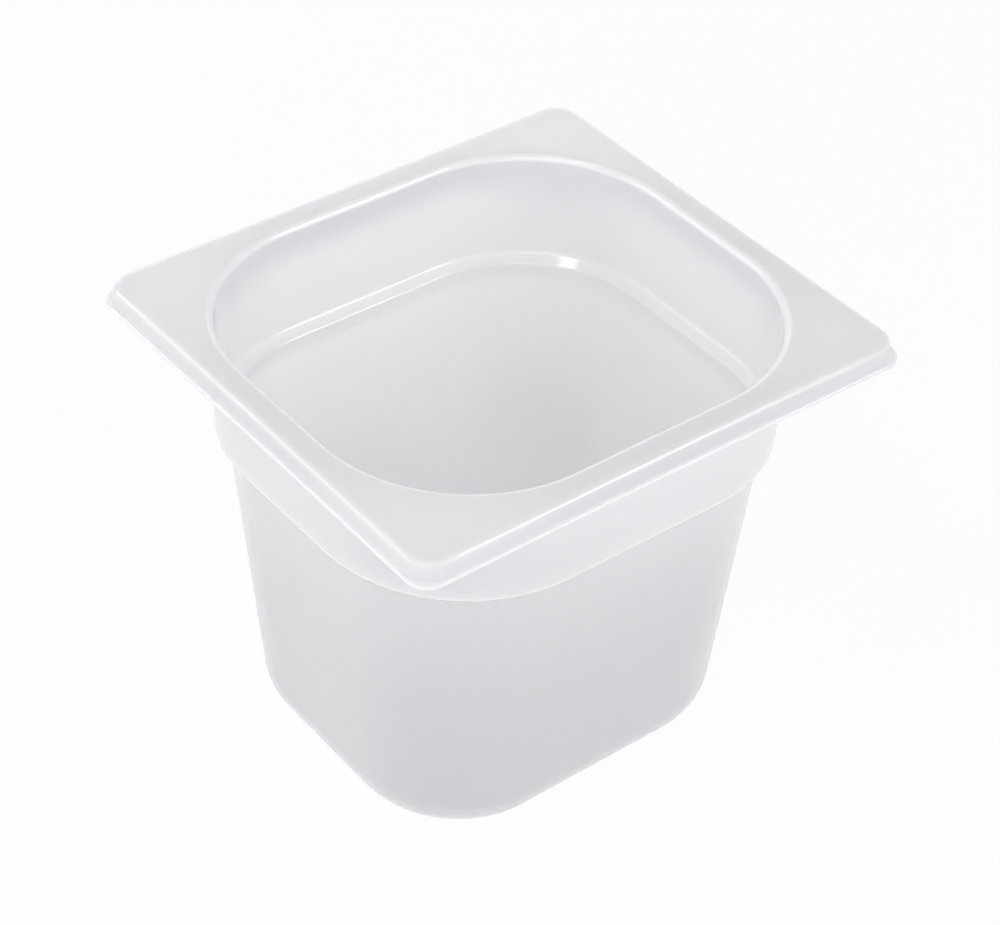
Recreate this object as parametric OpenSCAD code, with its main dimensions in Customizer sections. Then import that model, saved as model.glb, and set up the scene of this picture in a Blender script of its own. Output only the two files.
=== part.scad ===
// Deli food pan, one-sixth counter size, 150 mm deep.
// One injection moulding: a flat land round the mouth with a hanging skirt and lip, a steep collar,
// a stacking shoulder, a tapered basin and a floor that stands on a low ring.
// The origin is under the middle of the floor and +Z is up.

/* [Rim] */
// Length over the lip, along X
rim_length = 176; // [150:1:260]
// Width over the lip, along Y
rim_width = 162; // [140:1:240]
// Radius of the lip's outer corners in plan
rim_corner_r = 7; // [5:0.5:12]
// How much larger the skirt's corner radius is, at its top
corner_ease = 1.2; // [0:0.1:1.4]
// Drop from the land to the underside of the lip
rim_drop = 7.2; // [5.5:0.1:14]
// How far the lip stands out from the foot of the skirt
lip_reach = 1; // [0.6:0.1:3]
// Thickness of the lip
lip_thickness = 1.4; // [1.2:0.1:3]
// How far the skirt leans in from its foot to its top
skirt_lean = 0.6; // [0:0.1:1.2]
// Wall of the skirt
skirt_wall = 1.8; // [1.2:0.1:2.2]
// Thickness of the land
land_thickness = 2; // [1.4:0.1:3]
// Flat width of the land on the straight sides, from the skirt's top edge to the mouth's edge
land_width = 9.5; // [8.5:0.1:16]
// Radius of the outer top edge
land_edge_r = 2; // [0.5:0.1:2.8]
// Radius of the mouth's top edge
mouth_edge_r = 2.3; // [0.5:0.1:2.8]

/* [Collar] */
// Depth from the land to the stacking shoulder, outside
collar_depth = 39.2; // [15:0.1:60]
// Wall of the collar
collar_wall = 1.75; // [1.2:0.05:2.4]
// Draft of the collar, in degrees
collar_draft = 1.1; // [0.5:0.1:2]
// How far the shoulder steps in, outside
shoulder_step = 3.9; // [2.5:0.1:6]
// How far the shoulder drops as it steps in, outside
shoulder_drop = 4.6; // [2.5:0.1:8]
// Radius of the shoulder's upper edge, outside
shoulder_edge_r = 2.5; // [0.5:0.1:3]
// Radius at the foot of the shoulder, outside
shoulder_foot_r = 1; // [0.4:0.1:2]
// How far the inner ledge starts above the outer shoulder
ledge_lift = 3.1; // [2.4:0.1:4]
// How far the inner ledge drops as it steps in
ledge_drop = 2.8; // [2:0.1:6]
// Radius at the top of the inner ledge
ledge_top_r = 2; // [0.4:0.1:2.5]
// Radius of the inner ledge's edge
ledge_edge_r = 1.5; // [0.4:0.1:2.5]

/* [Basin] */
// Overall height of the pan
pan_height = 150; // [100:1:220]
// Distance from the lip to the upright axis that every curved corner of the mouth and basin turns about
corner_reach = 60.3; // [52:0.1:66]
// Draft of the basin, in degrees
basin_draft = 5.4; // [2:0.1:6]
// Wall of the basin
basin_wall = 1.5; // [1.2:0.05:2.4]
// Thickness of the floor over the recess
floor_thickness = 2.2; // [1.4:0.1:4]
// Outer radius between the wall and the floor
foot_r = 15; // [6:0.5:17]
// Height of the recess inside the standing ring
foot_recess = 0.8; // [0.4:0.1:1.5]
// Flat width of the standing ring
foot_width = 5; // [3:0.5:6]
// Diameter of the moulding gate's stub under the floor
gate_d = 6; // [3:0.5:12]
// Height of the moulding gate's stub
gate_height = 0.4; // [0.2:0.1:0.4]

/* [Hidden] */

arc_steps = 6;         // flats in each small fillet
foot_arc_steps = 14;   // flats in the large fillets at the foot
large_fillet_r = 5;    // fillets above this radius take the larger number of flats
lip_edge_r = 0.45;     // softens the lip's two edges
inner_edge_r = 0.8;    // inside corners under the land
gap_to_seam = 0.6;     // land left on the collar's section, outside the collar wall
seam_share = 0.65;     // where on the skirt's corner radius its section ends under the land
lip_root_share = 0.9;  // how deep the lip is rooted, in walls of the skirt
corner_flats = 96;     // segments of a full turn
stub_flats = 48;

// Heights
land_z = pan_height;
land_under_z = land_z - land_thickness;
lip_under_z = land_z - rim_drop;
shoulder_top_z = land_z - collar_depth;
shoulder_low_z = shoulder_top_z - shoulder_drop;
floor_z = foot_recess + floor_thickness;

// Insets from the lip's outer edge
skirt_top_in = lip_reach + skirt_lean;
mouth_in = skirt_top_in + land_width;
collar_out_in = mouth_in - collar_wall;
land_seam_in = collar_out_in - gap_to_seam;
shoulder_in = collar_out_in + collar_depth * tan(collar_draft) + shoulder_step;
foot_in = shoulder_in + shoulder_low_z * tan(basin_draft);

// Inset of the basin's outer and inner wall, and of the collar's, at a height
basin_run = basin_wall / cos(basin_draft);
function basin_out_in(z) = foot_in - z * tan(basin_draft);
function basin_inner_in(z) = basin_out_in(z) + basin_run;
function collar_inner_in(z) = mouth_in + (land_z - z) * tan(collar_draft);

ledge_top_z = shoulder_top_z + ledge_lift;
ledge_low_z = ledge_top_z - ledge_drop;

// Distance from the lip to the corner axes of the skirt
skirt_reach = skirt_top_in + rim_corner_r + corner_ease;

// Half spacing of the corner axes of the mouth, the skirt and the lip
function half_spacing(reach) = [rim_length / 2 - reach, rim_width / 2 - reach];
mouth_half = half_spacing(corner_reach);
skirt_half = half_spacing(skirt_reach);
lip_half = half_spacing(rim_corner_r);

// Where the skirt's section ends on the land: near enough for the land's plate to end under its flat top
skirt_seam_in = skirt_reach - seam_share * (rim_corner_r + corner_ease - land_edge_r);

// Inner radius of the foot keeps the wall even round the bend
foot_inner_r = foot_r - basin_wall;
ring_out_in = foot_in + foot_r * tan(45 - basin_draft / 2);
ring_inner_in = ring_out_in + foot_width;

function unit(v) = v / norm(v);

// Points of a fillet of radius r at corner b, on the way from a to c
function fillet(a, b, c, r, steps) =
    let (
        back = unit(a - b),
        ahead = unit(c - b),
        half = acos(back * ahead) / 2,
        middle = b + unit(back + ahead) * r / sin(half),
        first = b + back * r / tan(half) - middle,
        side = sign(cross(back, ahead)),
        sweep = side * (2 * half - 180)
    )
    [for (i = [0 : steps])
        let (turn = sweep * i / steps)
        middle + [first.x * cos(turn) - first.y * sin(turn), first.x * sin(turn) + first.y * cos(turn)]];

// Closed outline from corners given as [across, up, fillet radius]
module rounded_outline(corners) {
    count = len(corners);
    function at(i) = [corners[(i + count) % count].x, corners[(i + count) % count].y];
    polygon([
        for (i = [0 : count - 1])
            let (
                r = corners[i].z,
                steps = r > large_fillet_r ? foot_arc_steps : arc_steps
            )
            each (r == 0 ? [at(i)] : fillet(at(i - 1), at(i), at(i + 1), r, steps))
    ]);
}

// Sweeps a section round a rounded rectangle whose corner axes stand at +-half.
// The section's x is the distance out from those axes and its y is the height.
module sweep_round(half) {
    for (turn = [0 : 3]) {
        at = turn % 2 == 0 ? half : [half.y, half.x];
        rotate(90 * turn) translate([at.x, at.y, 0]) {
            rotate_extrude(angle = 90) children();
            rotate([90, 0, 0]) linear_extrude(2 * at.y) children();
        }
    }
}

// Section of the rim's outer edge: the land's border and the skirt that hangs from it
module skirt_section() {
    function out(inset) = skirt_reach - inset;
    rounded_outline([
        [out(skirt_seam_in), land_z, 0],
        [out(skirt_seam_in), land_under_z, 0],
        [out(skirt_top_in + skirt_wall), land_under_z, inner_edge_r],
        [out(lip_reach + skirt_wall), lip_under_z, 0],
        [out(lip_reach), lip_under_z, 0],
        [out(skirt_top_in), land_z, land_edge_r]
    ]);
}

// Section of the lip, rooted in the skirt's wall
module lip_section() {
    root = rim_corner_r - lip_reach - lip_root_share * skirt_wall;
    rounded_outline([
        [root, lip_under_z, 0],
        [rim_corner_r, lip_under_z, lip_edge_r],
        [rim_corner_r, lip_under_z + lip_thickness, lip_edge_r],
        [root, lip_under_z + lip_thickness, 0]
    ]);
}

// Section of one wall of the vessel, from the land down to the middle of the floor
module wall_section() {
    function out(inset) = corner_reach - inset;
    rounded_outline([
        [out(land_seam_in), land_z, 0],
        [out(mouth_in), land_z, mouth_edge_r],
        [out(collar_inner_in(ledge_top_z)), ledge_top_z, ledge_top_r],
        [out(basin_inner_in(ledge_low_z)), ledge_low_z, ledge_edge_r],
        [out(basin_inner_in(floor_z)), floor_z, foot_inner_r],
        [0, floor_z, 0],
        [0, foot_recess, 0],
        [out(ring_inner_in + foot_recess), foot_recess, 0],
        [out(ring_inner_in), 0, 0],
        [out(foot_in), 0, foot_r],
        [out(shoulder_in), shoulder_low_z, shoulder_foot_r],
        [out(shoulder_in - shoulder_step), shoulder_top_z, shoulder_edge_r],
        [out(collar_out_in), land_under_z, inner_edge_r],
        [out(land_seam_in), land_under_z, 0]
    ]);
}

// Land between the skirt's section and the wall's section, wide at the corners
module land() {
    plate = corner_reach - skirt_seam_in;
    hole_r = corner_reach - land_seam_in;
    for (turn = [0 : 3]) {
        at = turn % 2 == 0 ? mouth_half : [mouth_half.y, mouth_half.x];
        rotate(90 * turn) translate([at.x, at.y, land_under_z]) {
            linear_extrude(land_thickness) difference() {
                square(plate);
                circle(hole_r, $fn = corner_flats);
            }
            translate([hole_r, -2 * at.y, 0]) cube([plate - hole_r, 2 * at.y, land_thickness]);
        }
    }
}

module floor_middle() {
    translate([-mouth_half.x, -mouth_half.y, foot_recess])
        cube([2 * mouth_half.x, 2 * mouth_half.y, floor_thickness]);
}

module gate_stub() {
    translate([0, 0, foot_recess - gate_height]) cylinder(h = gate_height, d = gate_d, $fn = stub_flats);
}

module pan() {
    color("#e2e1e6") {
        sweep_round(skirt_half, $fn = corner_flats) skirt_section();
        sweep_round(lip_half, $fn = corner_flats) lip_section();
        land();
        sweep_round(mouth_half, $fn = corner_flats) wall_section();
        floor_middle();
        gate_stub();
    }
}

pan();
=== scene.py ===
import bpy, bmesh, math
from mathutils import Matrix, Vector


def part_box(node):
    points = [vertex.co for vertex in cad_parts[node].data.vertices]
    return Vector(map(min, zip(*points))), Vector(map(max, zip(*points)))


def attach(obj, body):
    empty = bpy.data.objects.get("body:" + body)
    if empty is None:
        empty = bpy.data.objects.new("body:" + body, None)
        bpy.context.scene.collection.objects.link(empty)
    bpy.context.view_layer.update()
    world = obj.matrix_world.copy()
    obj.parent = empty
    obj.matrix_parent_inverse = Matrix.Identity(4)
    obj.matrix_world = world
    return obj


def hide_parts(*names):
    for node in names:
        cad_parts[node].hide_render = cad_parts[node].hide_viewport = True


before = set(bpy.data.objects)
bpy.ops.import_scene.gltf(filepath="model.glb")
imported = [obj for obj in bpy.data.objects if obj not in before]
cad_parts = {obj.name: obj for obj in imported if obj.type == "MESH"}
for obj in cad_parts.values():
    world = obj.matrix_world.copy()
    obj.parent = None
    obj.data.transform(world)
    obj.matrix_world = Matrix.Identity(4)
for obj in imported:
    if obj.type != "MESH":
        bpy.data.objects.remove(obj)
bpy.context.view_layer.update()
scene = bpy.context.scene
mm = 0.001
print("frame loaded with the nodes", sorted(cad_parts))


# the pan's sizes in millimetres, with its drafts in degrees
pan = {
    "rimCornerRadius": 7.0, "cornerEase": 1.2,  # the lip's corners, and how much rounder the skirt's are
    "rimDrop": 7.2, "lipReach": 1.0, "lipThickness": 1.4, "lipEdgeRadius": 0.45,
    "skirtLean": 0.6, "skirtWall": 1.8,
    "landWidth": 9.5, "landThickness": 2.0, "landEdgeRadius": 2.0, "mouthEdgeRadius": 2.3,
    "collarDepth": 39.2, "collarWall": 1.75, "collarDraft": 1.1,
    "shoulderStep": 3.9, "shoulderDrop": 4.6, "shoulderEdgeRadius": 2.5, "shoulderFootRadius": 1.0,
    "ledgeLift": 3.1, "ledgeDrop": 2.8, "ledgeTopRadius": 2.0, "ledgeEdgeRadius": 1.5,
    "cornerReach": 60.3,  # from the lip to the upright axes that the mouth's and basin's corners turn about
    "basinDraft": 5.4, "basinWall": 1.5, "floorThickness": 2.2,
    "footRadius": 15.0, "footRecess": 0.8, "footWidth": 5.0,
    "plateInset": 3.0,  # from the standing ring in to where the rings of the floor's middle start
    "gateDiameter": 6.0, "gateHeight": 0.4, "gateBevel": 0.06,
    "gateShares": (0.5, 0.94, 1.05),  # rings on the gate stub's face and at its root, in stub radii
    "innerEdgeRadius": 0.8, "smallRadius": 0.25,
    "sideBow": 0.35,  # how far the sides shrink in at their middles
}

# painted light on an edge or a face: above 0 it is painted lighter, towards near white, as a highlight along
# the edge; 0 is plain; below 0 it is painted darker as shade
# painted shade at the shoulder's foot, at the lip's root and over the collar's outside; painted highlights
# along the other edges; painted light on the lip's faces, the collar's inside and the basin's floor
paintedLightMarks = {
    "shoulderFoot": -0.6, "shoulderEdge": 0.9, "collarOutside": -0.25,
    "lipFoot": 0.8, "lipFace": 0.8, "lipEdge": 1, "lipTop": 0.5, "lipRoot": -0.4,
    "landEdge": 0.2, "mouthEdge": 1, "collarInside": 0.35,
    "ledgeTop": 0.35, "ledgeEdge": 0.5, "floor": 0.8,
}

# how finely the skin is cut: steps in a corner and along a side, degrees in a fillet's step, and millimetres
ringPoints = {
    "corner": 22, "side": 14, "filletTurn": 9.0, "fewestTurns": 3, "longestStep": 7.0,
    "guard": 0.4,  # how near a fillet the straight beside it is first cut
    "recessShares": (0.2, 0.45, 0.7, 0.9), "floorShares": (0.1, 0.3, 0.55, 0.8, 1),
}

panLow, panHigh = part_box("pan")
rimLength = (panHigh.x - panLow.x) / mm
rimWidth = (panHigh.y - panLow.y) / mm
panHeight = (panHigh.z - panLow.z) / mm


def slope(degrees):
    return math.tan(math.radians(degrees))


def panSection():
    # corners of the section, from under the floor up over the rim and down inside to the floor's top:
    # axis reach, inset from the lip, height, fillet radius, 0 for outside or 1 for inside,
    # how much light or shade is painted at the fillet's middle, and how much on the straight that leads to
    # it
    p, m = pan, paintedLightMarks
    landUnder = panHeight - p["landThickness"]
    lipUnder = panHeight - p["rimDrop"]
    lipTop = lipUnder + p["lipThickness"]
    shoulderTop = panHeight - p["collarDepth"]
    shoulderLow = shoulderTop - p["shoulderDrop"]
    ledgeTop = shoulderTop + p["ledgeLift"]
    ledgeLow = ledgeTop - p["ledgeDrop"]
    floorTop = p["footRecess"] + p["floorThickness"]
    lipRootIn = p["lipReach"] + p["skirtLean"] * p["lipThickness"] / p["rimDrop"]
    skirtTopIn = p["lipReach"] + p["skirtLean"]
    mouthIn = skirtTopIn + p["landWidth"]
    collarOutIn = mouthIn - p["collarWall"]
    shoulderIn = collarOutIn + p["collarDepth"] * slope(p["collarDraft"]) + p["shoulderStep"]
    shoulderOutIn = shoulderIn - p["shoulderStep"]
    footIn = shoulderIn + shoulderLow * slope(p["basinDraft"])
    basinRun = p["basinWall"] / math.cos(math.radians(p["basinDraft"]))
    ringOutIn = footIn + p["footRadius"] * slope(45 - p["basinDraft"] / 2)
    ringIn = ringOutIn + p["footWidth"]
    plateIn = ringIn + p["plateInset"]
    vessel = p["cornerReach"]
    skirt = skirtTopIn + p["rimCornerRadius"] + p["cornerEase"]
    lip = p["rimCornerRadius"]
    small = p["smallRadius"]

    def basinInner(z):
        return footIn - z * slope(p["basinDraft"]) + basinRun

    def collarInner(z):
        return mouthIn + (panHeight - z) * slope(p["collarDraft"])

    return [
        (vessel, plateIn, p["footRecess"], 0, 0, 0, 0),
        (vessel, ringIn + p["footRecess"], p["footRecess"], small, 0, 0, 0),
        (vessel, ringIn, 0, small, 0, 0, 0),
        (vessel, footIn, 0, p["footRadius"], 0, 0, 0),
        (vessel, shoulderIn, shoulderLow, p["shoulderFootRadius"], 0, m["shoulderFoot"], 0),
        (vessel, shoulderOutIn, shoulderTop, p["shoulderEdgeRadius"], 0, m["shoulderEdge"], 0),
        (vessel, collarOutIn, landUnder, p["innerEdgeRadius"], 0, 0, m["collarOutside"]),
        (skirt, skirtTopIn + p["skirtWall"], landUnder, p["innerEdgeRadius"], 0, 0, 0),
        (skirt, p["lipReach"] + p["skirtWall"], lipUnder, small, 0, 0, 0),
        (lip, 0, lipUnder, p["lipEdgeRadius"], 0, m["lipFoot"], 0),
        (lip, 0, lipTop, p["lipEdgeRadius"], 0, m["lipEdge"], m["lipFace"]),
        (skirt, lipRootIn, lipTop, small, 0, m["lipRoot"], m["lipTop"]),
        (skirt, skirtTopIn, panHeight, p["landEdgeRadius"], 0, m["landEdge"], 0),
        (vessel, mouthIn, panHeight, p["mouthEdgeRadius"], 0, m["mouthEdge"], 0),
        (vessel, collarInner(ledgeTop), ledgeTop, p["ledgeTopRadius"], 1, m["ledgeTop"], m["collarInside"]),
        (vessel, basinInner(ledgeLow), ledgeLow, p["ledgeEdgeRadius"], 1, m["ledgeEdge"], 0),
        (vessel, basinInner(floorTop), floorTop, p["footRadius"] - p["basinWall"], 1, 0, 0),
        (vessel, plateIn, floorTop, 0, 1, 0, m["floor"]),
    ]


def filletArc(before, corner, after, radius):
    # points of an arc that rounds the corner, in the plane of inset and height
    a, b, c = Vector(before), Vector(corner), Vector(after)
    back, ahead = (a - b).normalized(), (c - b).normalized()
    half = back.angle(ahead) / 2
    centre = b + (back + ahead).normalized() * radius / math.sin(half)
    first = b + back * radius / math.tan(half) - centre
    turn = math.pi - 2 * half
    side = 1 if back.cross(ahead) < 0 else -1
    steps = max(ringPoints["fewestTurns"], math.ceil(math.degrees(turn) / ringPoints["filletTurn"]))
    arc = []
    for i in range(steps + 1):
        angle = side * turn * i / steps
        x = first.x * math.cos(angle) - first.y * math.sin(angle)
        y = first.x * math.sin(angle) + first.y * math.cos(angle)
        arc.append((centre.x + x, centre.y + y))
    return arc


def cornerLevels(corners, i):
    # one corner of the section, with the painted light or shade on the arc of its fillet strongest at its
    # middle
    reach, inset, z, radius, inside, paintedLight, before = corners[i]
    if radius == 0:
        return [(reach, inset, z, inside, before)]
    after = corners[i + 1][6]
    arc = filletArc(corners[i - 1][1:3], (inset, z), corners[i + 1][1:3], radius)
    levels = []
    for k, (x, y) in enumerate(arc):
        share = k / (len(arc) - 1)
        crest = paintedLight * math.sqrt(abs(math.sin(math.pi * share)))
        levels.append((reach, x, y, inside, before + (after - before) * share + crest))
    return levels


def straightShares(length):
    # where a straight is cut: just beside the fillets at its ends, and evenly between
    guard = ringPoints["guard"]
    between = length - 2 * guard
    if between <= 2 * guard:
        return []
    steps = math.ceil(between / ringPoints["longestStep"])
    return [(guard + between * k / steps) / length for k in range(steps + 1)]


def sectionLevels(corners):
    # the whole section as levels: axis reach, inset, height, inside and painted light
    levels = cornerLevels(corners, 0)
    for i in range(1, len(corners)):
        fillet = cornerLevels(corners, i)
        start, end = levels[-1][:3], fillet[0][:3]
        inside, paintedLight = corners[i][4], corners[i][6]
        for share in straightShares(math.hypot(end[1] - start[1], end[2] - start[2])):
            place = [s + (e - s) * share for s, e in zip(start, end)]
            levels.append((*place, inside, paintedLight))
        levels += fillet
    return levels


def levelRing(reach, inset, z):
    # a rounded rectangle at one height, walked anticlockwise from the back end of the right side
    halfX, halfY, radius = rimLength / 2 - reach, rimWidth / 2 - reach, reach - inset
    axes = [(halfX, halfY), (-halfX, halfY), (-halfX, -halfY), (halfX, -halfY)]
    points = []
    for quarter, axis in enumerate(axes):
        for i in range(ringPoints["corner"] + 1):
            angle = math.radians(90 * (quarter + i / ringPoints["corner"]))
            points.append((axis[0] + radius * math.cos(angle), axis[1] + radius * math.sin(angle), z))
        end, ahead = points[-1], axes[(quarter + 1) % 4]
        nextStart = (ahead[0] + radius * math.cos(angle), ahead[1] + radius * math.sin(angle))
        for i in range(1, ringPoints["side"]):
            share = i / ringPoints["side"]
            x, y = (e + (n - e) * share for e, n in zip(end, nextStart))
            points.append((x, y, z))
    return points


def roundRing(like, radius, z):
    # a circle with one point on the way to each point of a ring
    return [(radius * x / math.hypot(x, y), radius * y / math.hypot(x, y), z) for x, y, _ in like]


def betweenRings(a, b, share):
    return [tuple(p + (q - p) * share for p, q in zip(u, v)) for u, v in zip(a, b)]


def stubRings(like):
    # the moulding gate's stub, from its face up to the recess
    radius, top, bevel = pan["gateDiameter"] / 2, pan["footRecess"], pan["gateBevel"]
    low = top - pan["gateHeight"]
    middle, face, root = (radius * share for share in pan["gateShares"])
    places = [(middle, low), (face, low), (radius, low + bevel), (radius, top - bevel), (root, top)]
    return [roundRing(like, reach, z) for reach, z in places]


def panRings():
    # all rings of the closed skin in order, each with its inside mark and its painted light or shade
    rings = [(levelRing(*level[:3]), level[3], level[4]) for level in sectionLevels(panSection())]
    first, last = rings[0][0], rings[-1][0]
    stub = stubRings(first)
    recess = [betweenRings(stub[-1], first, share) for share in ringPoints["recessShares"]]
    middle = roundRing(last, pan["gateDiameter"] / 2, last[0][2])
    floor = [betweenRings(last, middle, share) for share in ringPoints["floorShares"]]
    under = [(ring, 0, 0) for ring in stub + recess]
    return under + rings + [(ring, 1, paintedLightMarks["floor"]) for ring in floor]


def bowed(point):
    # the sides of a moulded rim draw in a little between the corners as it cools
    x, y, z = point
    bowX = pan["sideBow"] * (1 - (y / (rimWidth / 2)) ** 2) * x / (rimLength / 2)
    bowY = pan["sideBow"] * (1 - (x / (rimLength / 2)) ** 2) * y / (rimWidth / 2)
    return Vector(((x - bowX) * mm, (y - bowY) * mm, z * mm))


def makePan():
    mesh = bpy.data.meshes.new("panSkin")
    build = bmesh.new()
    insideMark = build.verts.layers.float.new("inside")
    paintedLightLayer = build.verts.layers.float.new("paintedLight")

    def marked(place, inside, paintedLight):
        vert = build.verts.new(place)
        vert[insideMark], vert[paintedLightLayer] = inside, paintedLight
        return vert

    rings = panRings()
    rows = [[marked(bowed(point), inside, paintedLight) for point in points] for points, inside, paintedLight in rings]
    count = len(rows[0])
    for lower, upper in zip(rows, rows[1:]):
        for i in range(count):
            build.faces.new((lower[i], lower[(i + 1) % count], upper[(i + 1) % count], upper[i]))
    for row, (points, inside, paintedLight) in ((rows[0], rings[0]), (rows[-1], rings[-1])):
        hub = marked((0, 0, points[0][2] * mm), inside, paintedLight)
        for i in range(count):
            build.faces.new((row[i], row[(i + 1) % count], hub))
    bmesh.ops.recalc_face_normals(build, faces=build.faces)
    for face in build.faces:
        face.smooth = True
    build.to_mesh(mesh)
    build.free()
    skin = bpy.data.objects.new("pan_shell", mesh)
    scene.collection.objects.link(skin)
    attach(skin, "root")
    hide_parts("pan")
    print("pan skin:", len(mesh.vertices), "points,", len(mesh.polygons), "faces")
    return skin


class Wire:
    # one output socket, so that masks and shades can be written as sums and products
    def __init__(self, graph, socket):
        self.graph = graph
        self.socket = socket

    def combine(self, operation, *parts):
        return self.graph.node("ShaderNodeMath", {"operation": operation}, dict(enumerate(parts)))

    def __add__(self, other):
        return self.combine("ADD", self, other)

    def __sub__(self, other):
        return self.combine("SUBTRACT", self, other)

    def __rsub__(self, other):
        return self.combine("SUBTRACT", other, self)

    def __mul__(self, other):
        return self.combine("MULTIPLY", self, other)

    __radd__ = __add__
    __rmul__ = __mul__


class Graph:
    # the nodes of one material or of the world
    def __init__(self, owner):
        owner.use_nodes = True
        self.tree = owner.node_tree
        self.tree.nodes.clear()

    def node(self, kind, settings=None, sockets=None, output=0):
        made = self.tree.nodes.new(kind)
        for name, value in (settings or {}).items():
            setattr(made, name, value)
        for name, value in (sockets or {}).items():
            if isinstance(value, Wire):
                self.tree.links.new(value.socket, made.inputs[name])
            else:
                made.inputs[name].default_value = value
        return Wire(self, made.outputs[output]) if len(made.outputs) else None

    def mix(self, share, a, b):
        # the colour sockets of a Mix node are its 7th and 8th, and their result its 3rd
        return self.node("ShaderNodeMix", {"data_type": "RGBA"}, {0: share, 6: a, 7: b}, output=2)

    def clamp(self, value):
        return self.node("ShaderNodeClamp", None, {"Value": value})


# milky polypropylene: light goes deep into its walls; its edges are painted lighter as highlights, its
# concave feet are painted darker as shade, and its inside is painted lighter than its outside
milkyLook = {
    # the inside is painted lighter than the outside, as light in the basin; the cloud colours add faint flow
    # marks
    "outside": (0.885, 0.872, 0.925, 1), "outsideCloud": (0.870, 0.859, 0.912, 1),
    "inside": (0.955, 0.941, 0.992, 1), "insideCloud": (0.945, 0.932, 0.984, 1),
    # the colours of the painted highlights and of the painted shade, and how deep light scatters under the
    # painted highlights
    "paintedHighlight": (0.998, 0.988, 1.0, 1), "clear": (0.78, 0.775, 0.82, 1),
    "scatterRadius": (1.0, 1.0, 1.0), "plainScatter": 0.016, "highlightScatter": 0.003,  # metres
    "outsideRoughness": 0.19, "insideRoughness": 0.14, "roughnessSpread": 0.02,
    "ior": 1.49, "gloss": 1.0,
    "cloudScale": 18, "cloudDetail": 3, "cloudRoughness": 0.55,  # faint flow marks
    "grainScale": 700, "grainDetail": 2, "grainRoughness": 0.5,  # the fine satin
    "grainHeight": 0.000012, "grainStrength": 0.35,
}


def milkyPlastic():
    look = milkyLook
    material = bpy.data.materials.new("milky_plastic")
    g = Graph(material)
    place = g.node("ShaderNodeTexCoord", output="Object")
    inside = g.node("ShaderNodeAttribute", {"attribute_name": "inside"}, output="Fac")
    paintedLight = g.node("ShaderNodeAttribute", {"attribute_name": "paintedLight"}, output="Fac")
    cloud = g.node("ShaderNodeTexNoise", None, {
        "Vector": place, "Scale": look["cloudScale"],
        "Detail": look["cloudDetail"], "Roughness": look["cloudRoughness"]})
    grain = g.node("ShaderNodeTexNoise", None, {
        "Vector": place, "Scale": look["grainScale"],
        "Detail": look["grainDetail"], "Roughness": look["grainRoughness"]})
    # painted highlight where the mark is above 0, and painted shade where it is below 0
    paintedHighlight = g.clamp(paintedLight)
    clear = g.clamp(paintedLight * -1)
    outer = g.mix(cloud, look["outside"], look["outsideCloud"])
    inner = g.mix(cloud, look["inside"], look["insideCloud"])
    # the inside is painted lighter than the outside, as light in the basin
    colour = g.mix(inside, outer, inner)
    colour = g.mix(paintedHighlight, colour, look["paintedHighlight"])
    colour = g.mix(clear, colour, look["clear"])
    roughness = inside * (look["insideRoughness"] - look["outsideRoughness"])
    roughness = roughness + look["outsideRoughness"] + (cloud - 0.5) * look["roughnessSpread"]
    satin = g.node("ShaderNodeBump", None, {
        "Strength": look["grainStrength"], "Distance": look["grainHeight"], "Height": grain})
    # under the painted highlights the light scatters less deep
    skins = []
    for scatter in (look["plainScatter"], look["highlightScatter"]):
        skins.append(g.node("ShaderNodeBsdfPrincipled", {"subsurface_method": "RANDOM_WALK"}, {
            "Base Color": colour, "Roughness": roughness, "IOR": look["ior"],
            "Specular IOR Level": look["gloss"],
            "Subsurface Weight": 1, "Subsurface Radius": look["scatterRadius"],
            "Subsurface Scale": scatter, "Normal": satin,
        }))
    surface = g.node("ShaderNodeMixShader", None, {0: paintedHighlight, 1: skins[0], 2: skins[1]})
    g.node("ShaderNodeOutputMaterial", None, {"Surface": surface})
    print("milky plastic made")
    return material


studio = {
    "floorSize": 6.0,  # metres
    "floorGap": 0.05,  # millimetres below the pan's foot, so that no light slips in where they touch
    "floorColour": (0.93, 0.93, 0.93, 1), "floorWhite": 0.93, "white": (1, 1, 1, 1),
    "horizon": 1.34, "zenith": 0.05, "skyColour": (0.985, 0.98, 1.0, 1),
    "lookHeight": 0.12,  # metres, of the point that the lamps aim at
    "lamps": [
        # name, azimuth and elevation of where it hangs, distance, width, height, radiance
        ("rightBox", 32, 26, 1.2, 0.28, 0.5, 4.2),
        ("highBox", -79, 58, 1.15, 0.16, 0.2, 11.0),
        ("leftSoft", -130, 20, 1.3, 0.8, 0.5, 2.0),
        ("frontSoft", -45, 34, 1.4, 1.1, 0.9, 1.2),
        ("backSoft", 150, 24, 1.5, 1.2, 0.6, 0.85),
    ],
}


def outwardFrom(azimuth, elevation):
    # a direction away from the pan: azimuth 0 is towards its front, and 90 towards its right side
    a, e = math.radians(azimuth), math.radians(elevation)
    return Vector((math.sin(a) * math.cos(e), -math.cos(a) * math.cos(e), math.sin(e)))


def seenDirectly(g):
    # 1 for rays that show a thing as itself: to the camera, in a gloss, or through something clear
    rays = [g.node("ShaderNodeLightPath", output=name)
            for name in ("Is Camera Ray", "Is Glossy Ray", "Is Transmission Ray")]
    return g.clamp(rays[0] + rays[1] + rays[2])


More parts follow.
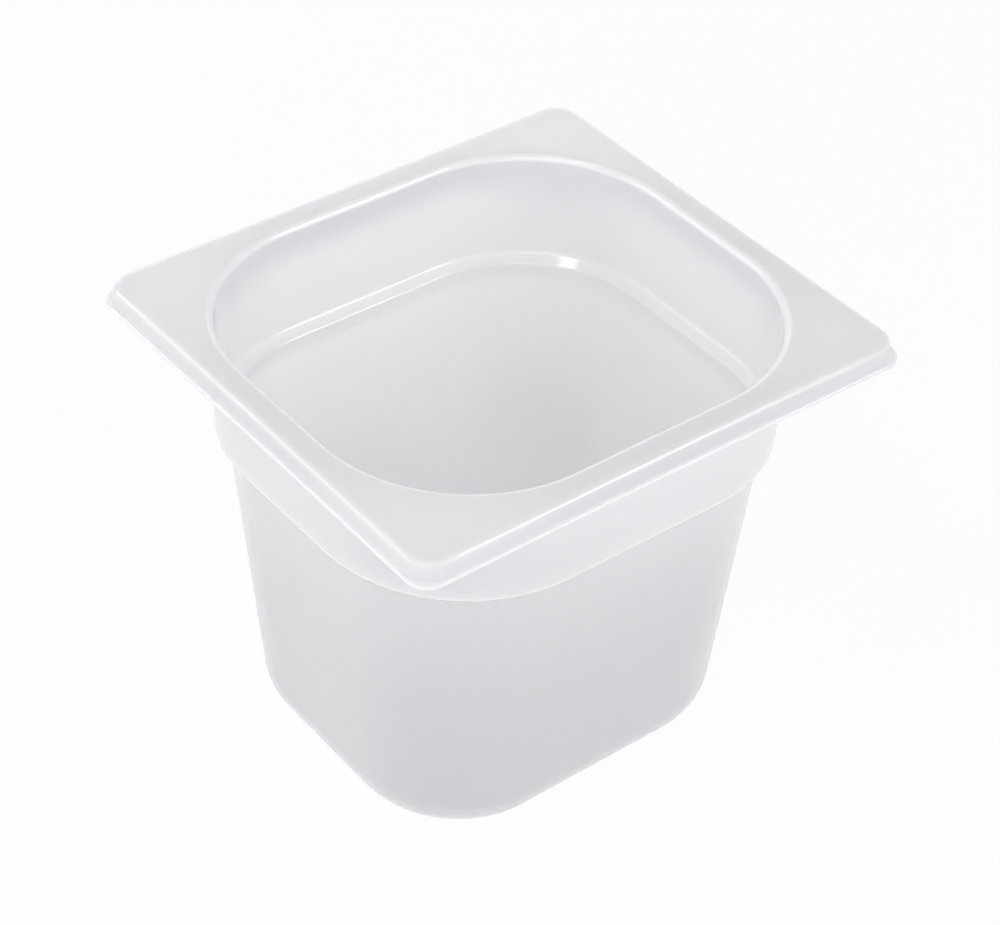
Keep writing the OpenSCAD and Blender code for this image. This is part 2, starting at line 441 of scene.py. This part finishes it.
def makeFloor():
    half, low = studio["floorSize"] / 2, -studio["floorGap"] * mm
    build = bmesh.new()
    corners = [build.verts.new((x * half, y * half, low)) for x, y in ((-1, -1), (1, -1), (1, 1), (-1, 1))]
    build.faces.new(corners)
    mesh = bpy.data.meshes.new("floor")
    build.to_mesh(mesh)
    build.free()
    floor = bpy.data.objects.new("floor", mesh)
    scene.collection.objects.link(floor)
    material = bpy.data.materials.new("pale_floor")
    g = Graph(material)
    direct = seenDirectly(g)
    colour = g.mix(direct, studio["floorColour"], studio["white"])
    matt = g.node("ShaderNodeBsdfDiffuse", None, {"Color": colour})
    glow = g.node("ShaderNodeEmission", None, {"Color": studio["white"], "Strength": 1})
    surface = g.node("ShaderNodeMixShader", None, {0: direct * studio["floorWhite"], 1: matt, 2: glow})
    g.node("ShaderNodeOutputMaterial", None, {"Surface": surface})
    mesh.materials.append(material)
    print("floor laid")


def makeSky():
    # bright at the horizon and dim overhead
    world = bpy.data.worlds.new("studio")
    scene.world = world
    g = Graph(world)
    direct = seenDirectly(g)
    direction = g.node("ShaderNodeTexCoord", output="Generated")
    height = g.node("ShaderNodeSeparateXYZ", None, {"Vector": direction}, output="Z")
    glow = height * (studio["zenith"] - studio["horizon"]) + studio["horizon"]
    sky = g.node("ShaderNodeBackground", None, {
        "Color": g.mix(direct, studio["skyColour"], studio["white"]),
        "Strength": direct + (1 - direct) * glow})
    g.node("ShaderNodeOutputWorld", None, {"Surface": sky})
    print("sky set")


def makeLamps():
    aim = Vector((0, 0, studio["lookHeight"]))
    for name, azimuth, elevation, distance, width, height, radiance in studio["lamps"]:
        outward = outwardFrom(azimuth, elevation)
        lamp = bpy.data.lights.new(name, "AREA")
        lamp.shape, lamp.size, lamp.size_y = "RECTANGLE", width, height
        lamp.energy = radiance * math.pi * width * height
        holder = bpy.data.objects.new(name, lamp)
        holder.location = aim + outward * distance
        holder.rotation_mode = "QUATERNION"
        holder.rotation_quaternion = (-outward).to_track_quat("-Z", "Y")
        holder.visible_camera = False
        scene.collection.objects.link(holder)
    print("lamps set:", ", ".join(row[0] for row in studio["lamps"]))


view = {
    "azimuth": -39.101, "elevation": 39.531, "roll": 2.283,  # degrees
    "distance": 0.84376, "acrossShift": 0.00237, "upShift": 0.01322, "lookHeight": 0.075,  # metres
    "lens": 98.02, "sensor": 36.0,  # millimetres
    "clipStart": 0.01, "clipEnd": 50,  # metres
}


def makeCamera():
    back = outwardFrom(view["azimuth"], view["elevation"])
    right = outwardFrom(view["azimuth"] + 90, 0)
    up = back.cross(right)
    roll = Matrix.Rotation(math.radians(view["roll"]), 3, "Z")
    turned = Matrix((right, up, back)).transposed() @ roll
    camera = bpy.data.cameras.new("camera")
    camera.lens, camera.sensor_width = view["lens"], view["sensor"]
    camera.clip_start, camera.clip_end = view["clipStart"], view["clipEnd"]
    holder = bpy.data.objects.new("camera", camera)
    offset = turned @ Vector((view["acrossShift"], view["upShift"], view["distance"]))
    holder.matrix_world = Matrix.Translation(Vector((0, 0, view["lookHeight"])) + offset) @ turned.to_4x4()
    scene.collection.objects.link(holder)
    scene.camera = holder
    print("camera placed at", [round(value, 3) for value in holder.matrix_world.translation])


panShell = makePan()
panShell.data.materials.append(milkyPlastic())
makeFloor()
makeSky()
makeLamps()
makeCamera()
scene.view_settings.view_transform = "Standard"
